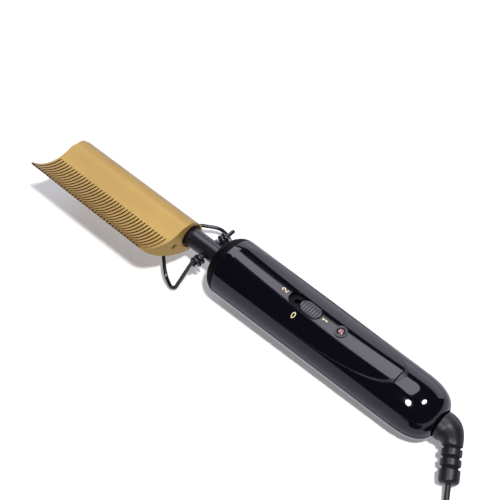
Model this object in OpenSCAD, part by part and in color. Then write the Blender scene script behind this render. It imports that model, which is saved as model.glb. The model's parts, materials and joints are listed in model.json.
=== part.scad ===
// A hot comb at rest on its wire stand, on a flat table. Sizes are millimetres.
// The tool is drawn along its own axis: the stand's rod is at x = 0, the comb lies towards -x and
// the handle towards +x, with the teeth on the -y side and the switch on top. The whole tool is then
// tilted until the stand's feet and the back of the handle touch the table, which is the plane z = 0.

/* [Handle] */
// Diameter of the handle behind its rounded front
handle_d = 38; // [36:0.5:42]
// How much smaller its diameter is where the rear dome starts
handle_taper = 2.2; // [0:0.1:3]
// From the stand's rod to the handle's front face
handle_front = 9; // [7:0.5:14]
// Length of the handle from its front face to its rear dome
handle_len = 136; // [126:1:170]
// Length of the rear dome
dome_len = 26; // [20:1:32]
// Radius of the rounded front edge
front_round = 11; // [8:0.5:12]
// Thickness of the shells
shell_wall = 2.2; // [1.6:0.1:3]

/* [Panel] */
// Height of the dished panel over the handle's axis at its lowest place
panel_height = 15.2; // [14.6:0.1:16]
// From the handle's front face to the panel's lowest place
panel_low = 78; // [70:1:90]
// Radius of the panel across the handle
panel_across_r = 25.5; // [22:0.5:30]
// Radius of the panel's dish along the handle
panel_along_r = 583; // [500:10:700]

/* [Switch] */
// From the handle's front face to the middle of the switch recess
switch_at = 65.4; // [55:0.1:72]
// Travel of the switch from low over off to high
switch_travel = 8; // [6:0.5:10]
// Length of the knob
knob_len = 13.4; // [11:0.2:15]
// Width of the knob
knob_wide = 7.6; // [6.6:0.2:8]
// Clearance round the knob in its recess
knob_gap = 0.7; // [0.4:0.1:1]
// Depth of the recess
recess_deep = 1.8; // [1.4:0.1:2.4]
// Number of grip ribs on the knob
rib_count = 6; // [4:1:8]

/* [Lamp] */
// From the handle's front face to the lamp
lamp_at = 91; // [86:0.5:100]
// Diameter of the lamp
lamp_d = 5; // [4:0.5:6]
// Width of the bezel's ring
bezel_wide = 1.2; // [0.8:0.1:1.6]

/* [Neck] */
// Diameter of the neck tube
neck_d = 12.2; // [11:0.1:13]
// Wall of the neck tube
neck_wall = 0.9; // [0.7:0.1:1.2]
// Length of tube held inside the handle
neck_in_handle = 30; // [25:1:34]
// Length of tube held inside the comb
neck_in_comb = 24; // [20:1:28]
// Length of the black collar in the comb
collar_len = 9; // [6:0.5:12]
// Wall of the black collar
collar_wall = 1.7; // [1.4:0.1:1.9]

/* [Comb] */
// Length of the comb
comb_len = 98.5; // [92:0.1:110]
// From the stand's rod to the comb's end face
comb_gap = 16; // [14:0.5:20]
// Radius of the comb's round spine
spine_r = 9.7; // [9.6:0.1:11]
// Number of teeth
tooth_count = 39; // [30:1:42]
// Width of the gap between two teeth
tooth_gap = 0.95; // [0.7:0.05:1.1]
// Width of the tooth at the comb's free end
first_tooth = 1.7; // [1.4:0.1:3]
// Width of the root of the tooth at the handle's end
last_tooth = 2.8; // [2.4:0.1:5]
// Radius of the hollow face
face_r = 24.6; // [24:0.1:27]
// Height of the hollow face's lowest place over the axis
face_low = 10.3; // [10:0.1:11]
// From the axis out to the hollow face's lowest place
face_mid = 16; // [15:0.1:17]
// Radius of the outer face behind the teeth
back_r = 62; // [56:1:70]
// From the axis out to the row of tooth tips
comb_reach = 37.6; // [36:0.1:39]
// From the axis out to the roots of the teeth, on the hollow face
root_reach = 17.2; // [16:0.1:19]
// Thickness of a tooth at its tip
tip_thick = 1.4; // [1.2:0.1:1.8]
// Diameter of the heater cartridge
heater_d = 8; // [7:0.5:9]
// Length of the heater cartridge
heater_len = 50; // [40:1:50]

/* [Stand] */
// Diameter of the stand's wire
wire_d = 2.3; // [2:0.1:2.5]
// Diameter of the cross rod
rod_d = 2.4; // [2:0.1:2.6]
// Turns of wire round the rod at each side
coil_turns = 2; // [1:1:3]
// From the middle plane out to each foot
foot_out = 25.7; // [25:0.1:29]
// Depth of the feet under the rod
foot_down = 22.4; // [21.5:0.1:24]
// How far the feet stand towards the comb
foot_ahead = 7.3; // [6:0.1:9]
// How far the arch under the comb reaches
arch_ahead = 28; // [26:0.5:30]
// Gap between the arch and the comb
arch_gap = 0.3; // [0.2:0.05:0.5]

/* [Cord] */
// Diameter of the cord
cord_d = 3.2; // [2.8:0.1:3.4]
// Diameter of the elbow's straight part
elbow_d = 11.2; // [10.4:0.1:12]
// Diameter of the elbow's round foot
foot_d = 16.6; // [15.6:0.1:17]
// Bend of the elbow, in degrees
elbow_bend = 58.9; // [45:0.1:70]
// Radius of the elbow's bend
elbow_bend_r = 11.8; // [10:0.1:14]
// Length of the elbow's straight part
elbow_len = 20.2; // [18:0.1:24]
// Number of ring grooves in the elbow
groove_count = 3; // [2:1:3]
// Turns of the put away coil
turn_count = 13.7; // [9.7:1:14.7]
// Diameter of the coil at the middle of its turns
coil_d = 38.4; // [36:0.1:38.4]

/* [Plug] */
// Length of the plug's body
plug_len = 25; // [22:1:28]
// Width of the plug's body
plug_wide = 21; // [20:0.5:24]
// Thickness of the plug's body
plug_thick = 12; // [11:0.5:14]
// Length of the blades
blade_len = 15.9; // [14:0.1:17]
// Distance between the middles of the blades
blade_apart = 12.7; // [12:0.1:13]
// Diameter of the hole near each blade's end
blade_hole_d = 3.2; // [2.8:0.1:3.4]

/* [Hidden] */
$fn = 96;

// Gap round a part that turns or slides in its seat
fit = 0.03;
// Gap between parts that pass each other
air = 0.3;

// Places along the tool's axis
front_x = handle_front;
dome_x = front_x + handle_len;
rear_x = dome_x + dome_len;
front_r = handle_d / 2;
dome_r = front_r - handle_taper / 2;
neck_r = neck_d / 2;
spine_end = -comb_gap;
spine_centre = [-0.7, -0.9];
spine_low = spine_r - spine_centre[1];
comb_tip = spine_end - comb_len;
tube_end = spine_end - neck_in_comb;
tube_back = front_x + neck_in_handle;

// ---- Tools for shapes ----

function unit(v) = v / norm(v);

function arc(centre, r, from, to, steps) = [
    for (i = [0:steps])
        let (a = from + (to - from) * i / steps)
        centre + r * [cos(a), sin(a)]
];

// Points of a round bend at corner b between a and c
function bend(a, b, c, r, steps) =
    let (
        u = unit(a - b),
        v = unit(c - b),
        half = acos(max(-1, min(1, u * v))) / 2,
        start = b + u * r / tan(half),
        centre = b + unit(u + v) * r / sin(half),
        p = start - centre,
        sweep = 180 - 2 * half,
        across = unit(cross(cross(u, v), u)),
        q = -u * r
    )
    [for (i = [0:steps]) centre + p * cos(sweep * i / steps) + q * sin(sweep * i / steps)];

// Unit directions of a path at its points
function headings(path) = [
    for (i = [0:len(path) - 1])
        unit(path[min(i + 1, len(path) - 1)] - path[max(i - 1, 0)])
];

function flatten_to(n, t) = unit(n - t * (n * t));

// Side directions that don't twist along the path
function sides_of(dirs, first) = [
    for (i = 0, n = flatten_to(first, dirs[0]); i < len(dirs);
         i = i + 1, n = i < len(dirs) ? flatten_to(n, dirs[i]) : n) n
];

// A round wire or cord along a path, as one closed solid
module tube(path, r, sides, first = [0, 0, 1], start_dir = undef, end_dir = undef) {
    plain = headings(path);
    last = len(path) - 1;
    dirs = [
        for (i = [0:last])
            i == 0 && !is_undef(start_dir) ? start_dir
            : i == last && !is_undef(end_dir) ? end_dir : plain[i]
    ];
    normals = sides_of(dirs, first);
    points = [
        for (i = [0:last])
            for (k = [0:sides - 1])
                let (a = 360 * k / sides)
                path[i] + r * (normals[i] * cos(a) + cross(dirs[i], normals[i]) * sin(a))
    ];
    walls = [
        for (i = [0:last - 1])
            for (k = [0:sides - 1])
                let (
                    a = i * sides + k,
                    b = i * sides + (k + 1) % sides
                )
                each [[a, a + sides, b + sides], [a, b + sides, b]]
    ];
    caps = [
        for (k = [1:sides - 2])
            each [[0, k, k + 1], [last * sides, last * sides + k + 1, last * sides + k]]
    ];
    polyhedron(points, concat(walls, caps));
}

// A plate with round ends along x
module stadium(length, width, height) {
    linear_extrude(height) {
        square([length - width, width], center = true);
        for (s = [-1, 1])
            translate([s * (length - width) / 2, 0])
                circle(d = width);
    }
}

// A ring or disc across the tool's axis, from x1 to x2
module ring_x(x1, x2, outer, inner = 0) {
    translate([x1, 0, 0])
        rotate([0, 90, 0])
            difference() {
                cylinder(h = x2 - x1, r = outer);
                if (inner > 0)
                    translate([0, 0, -1])
                        cylinder(h = x2 - x1 + 2, r = inner);
            }
}

// A solid of revolution about the tool's axis; its outline is a list of [x, radius]
module turned_x(outline) {
    rotate([0, 90, 0])
        rotate_extrude()
            polygon([for (p = outline) [p[1], p[0]]]);
}

// ---- How the tool lies on the table ----

function handle_r(x) = front_r + (dome_r - front_r) * (x - front_x) / handle_len;

function dome_point(a, inset) = [
    dome_x + (dome_len - inset) * pow(sin(a), 2 / 3),
    (dome_r - inset) * pow(cos(a), 2 / 3)
];

dome_steps = 14;
dome_outline = [for (i = [0:dome_steps]) dome_point(90 * i / dome_steps, 0)];

wire_r = wire_d / 2;
function rear_depth(t) = max([for (p = dome_outline) p[0] * sin(t) + p[1] * cos(t)]);
function feet_depth(t) = wire_r - foot_ahead * sin(t) + foot_down * cos(t);
function level(low, high, tries) =
    let (mid = (low + high) / 2)
    tries == 0 ? mid
    : feet_depth(mid) > rear_depth(mid) ? level(mid, high, tries - 1) : level(low, mid, tries - 1);
tilt = level(0, 12, 30);
rod_height = feet_depth(tilt);

// The elbow leaves the handle sideways and a little down
elbow_turn = 201;
elbow_r = elbow_d / 2;
elbow_start = rear_x + 1.1;
elbow_round = 2.2;
elbow_side = [0, cos(elbow_turn), sin(elbow_turn)];
elbow_dir = [1, 0, 0] * cos(elbow_bend) + elbow_side * sin(elbow_bend);
elbow_end = [elbow_start, 0, 0]
    + elbow_bend_r * ([1, 0, 0] * sin(elbow_bend) + elbow_side * (1 - cos(elbow_bend)))
    + elbow_dir * elbow_len;

// The origin is under the middle of the tool, without its cord
function tilted(p) = [p[0] * cos(tilt) + p[2] * sin(tilt), p[1], p[2] * cos(tilt) - p[0] * sin(tilt)];
left_x = tilted([comb_tip, 0, -spine_low])[0];
right_x = tilted(elbow_end)[0] + elbow_r * sqrt(1 - pow(tilted(elbow_dir)[0], 2)) - 0.25;
near_y = -comb_reach;
far_y = foot_out + wire_r;
function placed(p) = tilted(p) + [-(left_x + right_x) / 2, -(near_y + far_y) / 2, rod_height];

module tool() {
    translate(placed([0, 0, 0]))
        rotate([0, tilt, 0])
            children();
}

// ---- Comb ----

face_centre = [-face_mid, face_low + face_r];
tip_r = tip_thick / 2;
tip_y = -(comb_reach - tip_r);
tip_centre = [tip_y, face_centre[1] - sqrt(pow(face_r + tip_r, 2) - pow(tip_y - face_centre[0], 2))];
crest_r = 3;
crest_y = -6.5;
crest_centre = [
    crest_y,
    face_centre[1] - sqrt(pow(face_r + crest_r, 2) - pow(crest_y - face_centre[0], 2))
];
top_r = 5;
top_centre = [-0.3, face_low - 4.2];
back_reach = back_r - spine_r;
tip_way = tip_centre - spine_centre;
back_angle = atan2(tip_way[1], tip_way[0])
    - acos((pow(back_reach, 2) + tip_way * tip_way - pow(back_r - tip_r, 2))
        / (2 * back_reach * norm(tip_way)));
back_dir = [cos(back_angle), sin(back_angle)];
back_centre = spine_centre + back_reach * back_dir;

collar_r = neck_r + collar_wall;
heater_r = heater_d / 2;
bead_len = 3;
heater_front = tube_end - bead_len - 0.2;
screw_seat = [-14, 1.8];
gap_pitch = (comb_len - first_tooth - last_tooth - tooth_gap) / (tooth_count - 2);
root_lean = 14;
end_slant = 1.6;
corner_r = 3;

// How far each round of the outline stands over the faces that it meets
overlap = 0.015;

// Fills between two rounds, up to the straight face that touches both
module bridge(from, from_r, to, to_r) {
    way = from - to;
    angle = atan2(way[1], way[0]) - acos((to_r - from_r) / norm(way));
    normal = [cos(angle), sin(angle)];
    polygon([to, to + to_r * normal, from + from_r * normal, from]);
}

// Outline of the comb across its length
module comb_section() {
    far = 90;
    difference() {
        intersection() {
            translate(back_centre)
                circle(back_r, $fn = 360);
            polygon([
                face_centre,
                face_centre + far * unit(tip_centre - face_centre),
                face_centre + far * unit([-1, -3]),
                spine_centre - far * back_dir,
                spine_centre,
                top_centre,
                crest_centre
            ]);
        }
        translate(face_centre)
            circle(face_r, $fn = 180);
    }
    translate(tip_centre)
        circle(tip_r + overlap, $fn = 32);
    translate(crest_centre)
        circle(crest_r + overlap, $fn = 64);
    translate(top_centre)
        circle(top_r + overlap, $fn = 64);
    translate(spine_centre)
        circle(spine_r + overlap);
    bridge(crest_centre, crest_r, top_centre, top_r);
    bridge(top_centre, top_r, spine_centre, spine_r);
}

// Outline of the comb seen from above, with its slanted end
module comb_plan() {
    corner_x = spine_end - end_slant - corner_r;
    polygon(concat(
        [[comb_tip - 1, 2 * spine_r], [spine_end, 2 * spine_r], [spine_end, -spine_r]],
        arc([corner_x, corner_r - comb_reach], corner_r, 0, -90, 6),
        [[comb_tip - 1, -comb_reach]]
    ));
}

module comb_gaps() {
    deep = 2 * spine_r;
    for (i = [0:tooth_count - 2])
        translate([comb_tip + first_tooth + gap_pitch * i, 0, 0])
            rotate([90, 0, 90])
                linear_extrude(tooth_gap)
                    polygon([
                        [-root_reach + (30 - face_low) * tan(root_lean), 30],
                        [-root_reach - (face_low + deep) * tan(root_lean), -deep],
                        [-2 * comb_reach, -deep],
                        [-2 * comb_reach, 30]
                    ]);
}

module comb_head() {
    color("goldenrod")
        tool()
            difference() {
                intersection() {
                    translate([comb_tip, 0, 0])
                        rotate([90, 0, 90])
                            linear_extrude(comb_len)
                                comb_section();
                    translate([0, 0, -50])
                        linear_extrude(100)
                            comb_plan();
                }
                comb_gaps();
                ring_x(spine_end - collar_len, spine_end + 1, collar_r + fit);
                ring_x(tube_end, spine_end, neck_r + fit);
                ring_x(heater_front - heater_len - 0.5, spine_end, heater_r + fit);
                translate([0, screw_seat[0], screw_seat[1]]) {
                    ring_x(spine_end - 2.6, spine_end + 1, 2);
                    ring_x(spine_end - 11, spine_end, 1.05);
                }
            }
}

module comb_screw() {
    color("dimgray")
        tool()
            translate([0, screw_seat[0], screw_seat[1]])
                difference() {
                    union() {
                        ring_x(spine_end - 2.6, spine_end - 1.4, 1.8);
                        ring_x(spine_end - 10, spine_end - 2, 1);
                    }
                    translate([spine_end - 1.4, 0, 0])
                        cube([1, 0.6, 5], center = true);
                }
}

module heater_cartridge() {
    color("gainsboro")
        tool()
            ring_x(heater_front - heater_len, heater_front, heater_r);
}

// Wires run one above and one below the rod
lead_r = 0.8;
lead_high = rod_d / 2 + lead_r + 1.2;
fuse_r = 1.7;
fuse_len = 10;
fuse_x = spine_end - 13;

module heater_bead() {
    color("ivory")
        tool()
            difference() {
                ring_x(heater_front, heater_front + bead_len, heater_r);
                for (s = [-1, 1])
                    translate([0, 0, s * heater_r / 2])
                        ring_x(heater_front - 1, heater_front + bead_len + 1, lead_r + fit);
            }
}

module thermal_fuse() {
    color("silver")
        tool()
            translate([0, 0, -lead_high])
                ring_x(fuse_x, fuse_x + fuse_len, fuse_r);
}

// ---- Neck ----

module neck_collar() {
    lip = 1.2;
    round_r = collar_wall / 2 - 0.05;
    color("black")
        tool()
            turned_x(concat(
                [[spine_end - collar_len, neck_r + fit], [spine_end - collar_len, collar_r]],
                arc([spine_end - lip - round_r, collar_r - round_r], round_r, 90, 0, 6),
                arc([spine_end - lip - round_r, neck_r + fit + round_r], round_r, 0, -90, 6)
            ));
}

module neck_tube() {
    color("black")
        tool()
            difference() {
                ring_x(tube_end, tube_back, neck_r, neck_r - neck_wall);
                rotate([90, 0, 0])
                    cylinder(h = 2 * neck_d, d = rod_d + 2 * fit, center = true);
            }
}

flange_x = front_x + 15;
flange_thick = 1.2;
flange_r = neck_r + 5;

module neck_flange() {
    color("silver")
        tool()
            ring_x(flange_x, flange_x + flange_thick, flange_r, neck_r + fit);
}

// ---- Stand ----

coil_r = rod_d / 2 + wire_r + 0.2;
coil_pitch = wire_d + 0.45;
coil_in = neck_r + air + wire_r;
coil_out = coil_in + coil_turns * coil_pitch;
rod_near = coil_out + wire_r;
rod_far = rod_near + 6.5;

module pivot_rod() {
    color("black")
        tool()
            rotate([90, 0, 0]) {
                translate([0, 0, -rod_far + rod_d / 2])
                    cylinder(h = rod_far + rod_near - rod_d / 2, d = rod_d);
                translate([0, 0, -rod_far + rod_d / 2])
                    sphere(d = rod_d);
                translate([0, 0, rod_near])
                    cylinder(h = 0.8, d1 = rod_d + 0.8, d2 = rod_d);
                translate([0, 0, rod_near - 0.01])
                    cylinder(h = 0.4, d = rod_d + 0.8);
            }
}

arch_down = spine_low + arch_gap + wire_r;
coil_rings = 16;

// One half of the wire, from the coil's inner end to the middle of the arch
half_wire = let (
    coil_end = [-coil_r, coil_out, 0],
    foot = [-foot_ahead, foot_out, -foot_down],
    shin = [-foot_ahead - 0.32 * (arch_ahead - foot_ahead), foot_out - 0.8, -0.62 * foot_down],
    knee = [-foot_ahead - 0.84 * (arch_ahead - foot_ahead), 0.62 * foot_out, -arch_down + 0.9],
    crown = [-arch_ahead, 0.28 * foot_out, -arch_down],
    crown_far = [-arch_ahead, -0.28 * foot_out, -arch_down]
) concat(
    [
        for (i = [0:coil_turns * coil_rings - 1])
            let (a = 180 + 360 * i / coil_rings)
            [coil_r * cos(a), coil_in + coil_pitch * i / coil_rings, coil_r * sin(a)]
    ],
    bend([-coil_r, coil_out - 0.6, 3], coil_end + [0, 0.2, -1.5], foot, 3, 3),
    bend(coil_end, foot, shin, 2.2, 6),
    bend(foot, shin, knee, 12, 4),
    bend(shin, knee, crown, 7, 4),
    bend(knee, crown, crown_far, 5, 3)
);

module wire_stand() {
    wire = concat(
        [for (p = half_wire) [p[0], -p[1], p[2]]],
        [for (i = [len(half_wire) - 1:-1:0]) half_wire[i]]
    );
    color("black")
        tool()
            tube(wire, wire_r, 8, [1, 0, 0]);
}

// ---- Handle ----

panel_x = front_x + panel_low;
panel_arm = panel_along_r + panel_across_r;
panel_sweep = 26;

// The body of the handle, drawn in by an even inset, with the dish along its top
module handle_form(inset) {
    r = front_round - inset;
    edge_x = front_x + front_round;
    intersection() {
        turned_x(concat(
            [[front_x + inset, 0]],
            arc([edge_x, handle_r(edge_x) - front_round], r, 180, 90, 8),
            [for (i = [0:dome_steps]) dome_point(90 * i / dome_steps, inset)]
        ));
        translate([panel_x, 0, panel_height + panel_along_r])
            rotate([90, 0, 0])
                rotate([0, 0, 270 - panel_sweep / 2])
                    rotate_extrude(angle = panel_sweep, $fn = 720)
                        translate([panel_arm, 0])
                            circle(panel_across_r - inset);
    }
}

module half_space(side) {
    translate([front_x - 1, -handle_d, side > 0 ? 0 : -2 * handle_d])
        cube([rear_x - front_x + 20, 2 * handle_d, 2 * handle_d]);
}

socket_x = dome_x + 5;
socket_len = 14;
socket_r = 10;
shaft_r = 5;
socket_flange_r = 12;
rear_hole_r = foot_d / 2 + air;

// Walls across the handle that hold the neck flange and the swivel socket
module cross_walls() {
    thick = 1.2;
    slack = 0.1;
    for (w = [
        [flange_x - slack - thick, neck_r + 0.2],
        [flange_x + flange_thick + slack, neck_r + 0.2],
        [socket_x + 2 - slack - thick, socket_r + 0.1],
        [socket_x + 4 + slack, socket_r + 0.1]
    ])
        ring_x(w[0], w[0] + thick, handle_d, w[1]);
}

// One half of the handle; its children are bosses that grow from its wall
module shell(side) {
    difference() {
        intersection() {
            union() {
                difference() {
                    handle_form(0);
                    handle_form(shell_wall);
                }
                intersection() {
                    handle_form(shell_wall / 2);
                    union() {
                        cross_walls();
                        children();
                    }
                }
            }
            half_space(side);
        }
        ring_x(front_x - 1, front_x + front_round, neck_r + fit);
        ring_x(socket_x + socket_len + 0.5, rear_x + 1, rear_hole_r);
    }
}

screw_places = [for (x = [front_x + 36, dome_x - 8]) for (y = [-10, 10]) [x, y]];
boss_r = 4;
screw_r = 1.25;
screw_head_r = 2.5;
screw_head_high = 1.6;
screw_seat_z = -dome_r + 7.2;
screw_grip = 6.5;

// ---- Board ----

board_top = 2;
board_thick = 1.6;
board_under = board_top - board_thick;
board_wide = 23;
board_x = front_x + 41;
board_end = dome_x - 14;
board_screw_places = [[board_x + 4, 8.5], [board_end - 4, -8.5]];
board_screw_r = 1;
board_screw_len = 5;
board_boss_r = 2.6;

// ---- Switch ----

switch_x = front_x + switch_at;
recess_len = knob_len + switch_travel + 2 * knob_gap;
recess_wide = knob_wide + 2 * knob_gap;
recess_floor = panel_height - recess_deep;
well_wall = 1.4;
stem_len = 4;
stem_wide = 3;
knob_rise = 0.9;
knob_x = switch_x + switch_travel / 2;
knob_base = recess_floor + air;
knob_top = panel_height + knob_rise;
plate_top = recess_floor - well_wall - air;
plate_thick = 1.2;
switch_high = 5.5;
switch_top = board_top + switch_high;
lever_long = 3;
lever_wide = 2;
lever_down = 2;

// ---- Lamp ----

lamp_x = front_x + lamp_at;
lamp_r = lamp_d / 2;
bezel_r = lamp_r + 0.05 + bezel_wide;
bezel_tube_r = lamp_r + 0.6;
lamp_panel = panel_height + pow(lamp_x - panel_x, 2) / (2 * panel_along_r);
bezel_top = lamp_panel + 0.5;

module upper_shell() {
    color("#16151a")
        tool()
            difference() {
                union() {
                    shell(1)
                        for (p = screw_places)
                            translate([p[0], p[1], 0])
                                cylinder(h = handle_d, r = boss_r);
                    intersection() {
                        handle_form(0);
                        translate([switch_x, 0, recess_floor - well_wall])
                            stadium(recess_len + 2 * well_wall, recess_wide + 2 * well_wall, handle_d);
                    }
                }
                translate([switch_x, 0, recess_floor])
                    stadium(recess_len, recess_wide, handle_d);
                translate([switch_x, 0, recess_floor - 2 * well_wall])
                    stadium(switch_travel + stem_len + stem_wide + 2 * air, stem_wide + 2 * air, handle_d);
                translate([lamp_x, 0, 0])
                    cylinder(h = handle_d, r = bezel_tube_r + fit);
                for (p = screw_places)
                    translate([p[0], p[1], -1])
                        cylinder(h = screw_grip + 1.5, r = screw_r + fit);
            }
}

module lower_shell() {
    color("#1b1a20")
        tool()
            difference() {
                union() {
                    shell(-1)
                        for (p = screw_places)
                            translate([p[0], p[1], -handle_d])
                                cylinder(h = handle_d, r = boss_r);
                    intersection() {
                        handle_form(shell_wall / 2);
                        for (p = board_screw_places)
                            translate([p[0], p[1], -handle_d])
                                cylinder(h = handle_d + board_under, r = board_boss_r);
                    }
                }
                for (p = screw_places)
                    translate([p[0], p[1], -handle_d]) {
                        cylinder(h = handle_d + 1, r = screw_r + air);
                        cylinder(h = handle_d + screw_seat_z, r = screw_head_r + air);
                    }
                for (p = board_screw_places)
                    translate([p[0], p[1], board_top - board_screw_len - 0.5])
                        cylinder(h = board_screw_len, r = board_screw_r + fit);
            }
}

module shell_screws() {
    color("silver")
        tool()
            for (p = screw_places)
                translate([p[0], p[1], screw_seat_z])
                    difference() {
                        union() {
                            cylinder(h = screw_grip - screw_seat_z, r = screw_r);
                            translate([0, 0, -screw_head_high])
                                cylinder(h = screw_head_high, r = screw_head_r);
                        }
                        translate([0, 0, -screw_head_high]) {
                            cube([3, 0.7, 1.6], center = true);
                            cube([0.7, 3, 1.6], center = true);
                        }
                    }
}

module switch_knob() {
    grip = knob_len - 3;
    rib_pitch = grip / rib_count;
    color("#2b2a30")
        tool()
            difference() {
                union() {
                    intersection() {
                        translate([knob_x, 0, knob_base])
                            stadium(knob_len, knob_wide, knob_top - knob_base);
                        translate([knob_x, 0, knob_top - 11])
                            rotate([0, 90, 0])
                                cylinder(h = 2 * knob_len, r = 11, center = true);
                    }
                    translate([knob_x - stem_len / 2, -stem_wide / 2, plate_top - plate_thick])
                        cube([stem_len, stem_wide, knob_base - plate_top + plate_thick + 0.5]);
                    translate([knob_x - 5, -3.5, plate_top - plate_thick])
                        cube([10, 7, plate_thick]);
                }
                for (i = [0:rib_count])
                    translate([knob_x - grip / 2 + rib_pitch * i, 0, knob_top])
                        cube([rib_pitch * 0.45, knob_wide - 1.6, 1.5], center = true);
                translate([knob_x - lever_long / 2 - fit, -lever_wide / 2 - fit, 0])
                    cube([lever_long + 2 * fit, lever_wide + 2 * fit, plate_top + 1]);
            }
}

module switch_lever() {
    color("ivory")
        tool()
            translate([knob_x - lever_long / 2, -lever_wide / 2, switch_top - lever_down])
                cube([lever_long, lever_wide, plate_top + 0.9 - switch_top + lever_down]);
}

module switch_body() {
    long = switch_travel + lever_long + 8;
    slot = switch_travel + lever_long + 2 * air;
    color("silver")
        tool()
            translate([switch_x, 0, board_top])
                difference() {
                    translate([-long / 2, -4, 0])
                        cube([long, 8, switch_high]);
                    translate([-slot / 2, -lever_wide / 2 - air, switch_high - lever_down - air])
                        cube([slot, lever_wide + 2 * air, lever_down + 1]);
                }
}

module lamp_bezel() {
    color("black")
        tool()
            translate([lamp_x, 0, 0])
                difference() {
                    union() {
                        translate([0, 0, lamp_panel + 0.2])
                            cylinder(h = bezel_top - lamp_panel - 0.2, r = bezel_r);
                        translate([0, 0, lamp_panel - shell_wall - 1])
                            cylinder(h = shell_wall + 1.3, r = bezel_tube_r);
                    }
                    cylinder(h = handle_d, r = lamp_r + fit);
                }
}

module lamp() {
    dome_high = 0.9;
    dome_big_r = (pow(lamp_r, 2) + pow(dome_high, 2)) / (2 * dome_high);
    color("#b06a72")
        tool()
            translate([lamp_x, 0, 0]) {
                translate([0, 0, lamp_panel - 5.5])
                    cylinder(h = 5.5, r = lamp_r);
                intersection() {
                    translate([0, 0, lamp_panel + dome_high - dome_big_r])
                        sphere(dome_big_r);
                    translate([0, 0, lamp_panel - 0.5])
                        cylinder(h = 3, r = lamp_r);
                }
                translate([0, 0, lamp_panel - 6.5])
                    cylinder(h = 1.1, r = lamp_r + 0.4);
                for (s = [-1, 1])
                    translate([s * 1.27, 0, board_top])
                        cylinder(h = lamp_panel - 6 - board_top, r = 0.25);
            }
}

module control_board() {
    color("darkgreen")
        tool()
            difference() {
                translate([board_x, -board_wide / 2, board_under])
                    cube([board_end - board_x, board_wide, board_thick]);
                for (p = board_screw_places)
                    translate([p[0], p[1], 0])
                        cylinder(h = 2 * board_top, r = board_screw_r + air);
            }
}

module board_screws() {
    color("silver")
        tool()
            for (p = board_screw_places)
                translate([p[0], p[1], board_top]) {
                    translate([0, 0, -board_screw_len])
                        cylinder(h = board_screw_len, r = board_screw_r);
                    cylinder(h = 1.3, r = 2 * board_screw_r);
                }
}

module capacitor() {
    color("darkorange")
        tool()
            translate([lamp_x + 8, 0.5, board_top])
                cube([12, 6, 8]);
}

module dropper_resistor() {
    body_r = 1.7;
    color("tan")
        tool()
            translate([switch_x + 14, -8, board_top + body_r]) {
                ring_x(0, 9, body_r);
                ring_x(-3, 12, 0.35);
                for (x = [-3, 12])
                    translate([x, 0, -body_r])
                        cylinder(h = body_r + 0.35, r = 0.35);
            }
}

module triac() {
    color("#222222")
        tool()
            translate([board_x + 8, -9, board_top])
                cube([3, 7, 8]);
}

module diodes() {
    body_r = 1.2;
    color("#333333")
        tool()
            for (i = [0:3])
                translate([lamp_x + 7 + 3.6 * i, -4, board_top + body_r])
                    rotate([0, 0, 90])
                        ring_x(-2.3, 2.3, body_r);
}

lead_end = board_x + 3;

// Two wires from the heater through the neck to the board, one of them through the fuse
module heater_leads() {
    start_x = heater_front + 1;
    over = board_top + lead_r + 0.05;
    color("white")
        tool() {
            tube([
                [start_x, 0, heater_r / 2],
                [heater_front + bead_len + 1, 0, heater_r / 2],
                [fuse_x - 4, 0, lead_high],
                [tube_back, 0, lead_high],
                [board_x - 4, 4, lead_high + 0.6],
                [lead_end, 4, over]
            ], lead_r, 8);
            tube([
                [start_x, 0, -heater_r / 2],
                [heater_front + bead_len + 1, 0, -heater_r / 2],
                [fuse_x - 3, 0, -lead_high],
                [fuse_x, 0, -lead_high]
            ], lead_r, 8);
            tube([
                [fuse_x + fuse_len, 0, -lead_high],
                [tube_back, 0, -lead_high],
                [board_x - 5, -3, 0],
                [board_x - 2, -4, over + 0.4],
                [lead_end, -4, over]
            ], lead_r, 8);
        }
}

// ---- Cord exit ----

pin_r = 1.5;
pin_len = 10;
sleeve_r = 3.2;
sleeve_len = 5;
shaft_end = socket_x - 2;
shelf_top = -6;
contact_thick = 0.4;
contact_x = shaft_end - pin_len + 2;

module swivel_socket() {
    color("#303036")
        tool() {
            difference() {
                union() {
                    ring_x(socket_x, socket_x + socket_len, socket_r);
                    ring_x(socket_x + 2, socket_x + 4, socket_flange_r);
                }
                ring_x(socket_x - 1, socket_x + socket_len + 1, shaft_r + fit);
            }
            translate([contact_x - 4, -5, shelf_top - 1.5])
                cube([socket_x - contact_x + 4.5, 10, 1.5]);
        }
}

module contact_springs() {
    color("gold")
        tool()
            for (c = [[contact_x, -pin_r], [shaft_end - 3, -sleeve_r]])
                translate([c[0], 0, 0]) {
                    translate([-1.5, -1.5, c[1] - 0.1 - contact_thick])
                        cube([3, 3, contact_thick]);
                    translate([-1.5, -1.5, shelf_top])
                        cube([contact_thick, 3, c[1] - 0.1 - shelf_top]);
                }
}

module mains_leads() {
    over = shelf_top + lead_r;
    color("saddlebrown")
        tool()
            for (s = [-1, 1])
                tube([
                    [contact_x - 1.5, s * 3.4, over + 0.02],
                    [contact_x - 4, s * 3.8, over + 0.3],
                    [board_end + 1, s * 5, -lead_r - 1],
                    [board_end - 3, s * 5, board_under - lead_r - 0.05],
                    [board_end - 8, s * 5, board_under - lead_r - 0.05]
                ], lead_r, 8);
}

module swivel_pin() {
    color("gold")
        tool() {
            ring_x(shaft_end - pin_len, shaft_end, pin_r);
            ring_x(shaft_end - sleeve_len, shaft_end, sleeve_r, pin_r + 0.6);
        }
}

groove_pitch = 5.3;
groove_wide = 1;
groove_deep = 1;
elbow_core_r = elbow_r - groove_deep;

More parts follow.
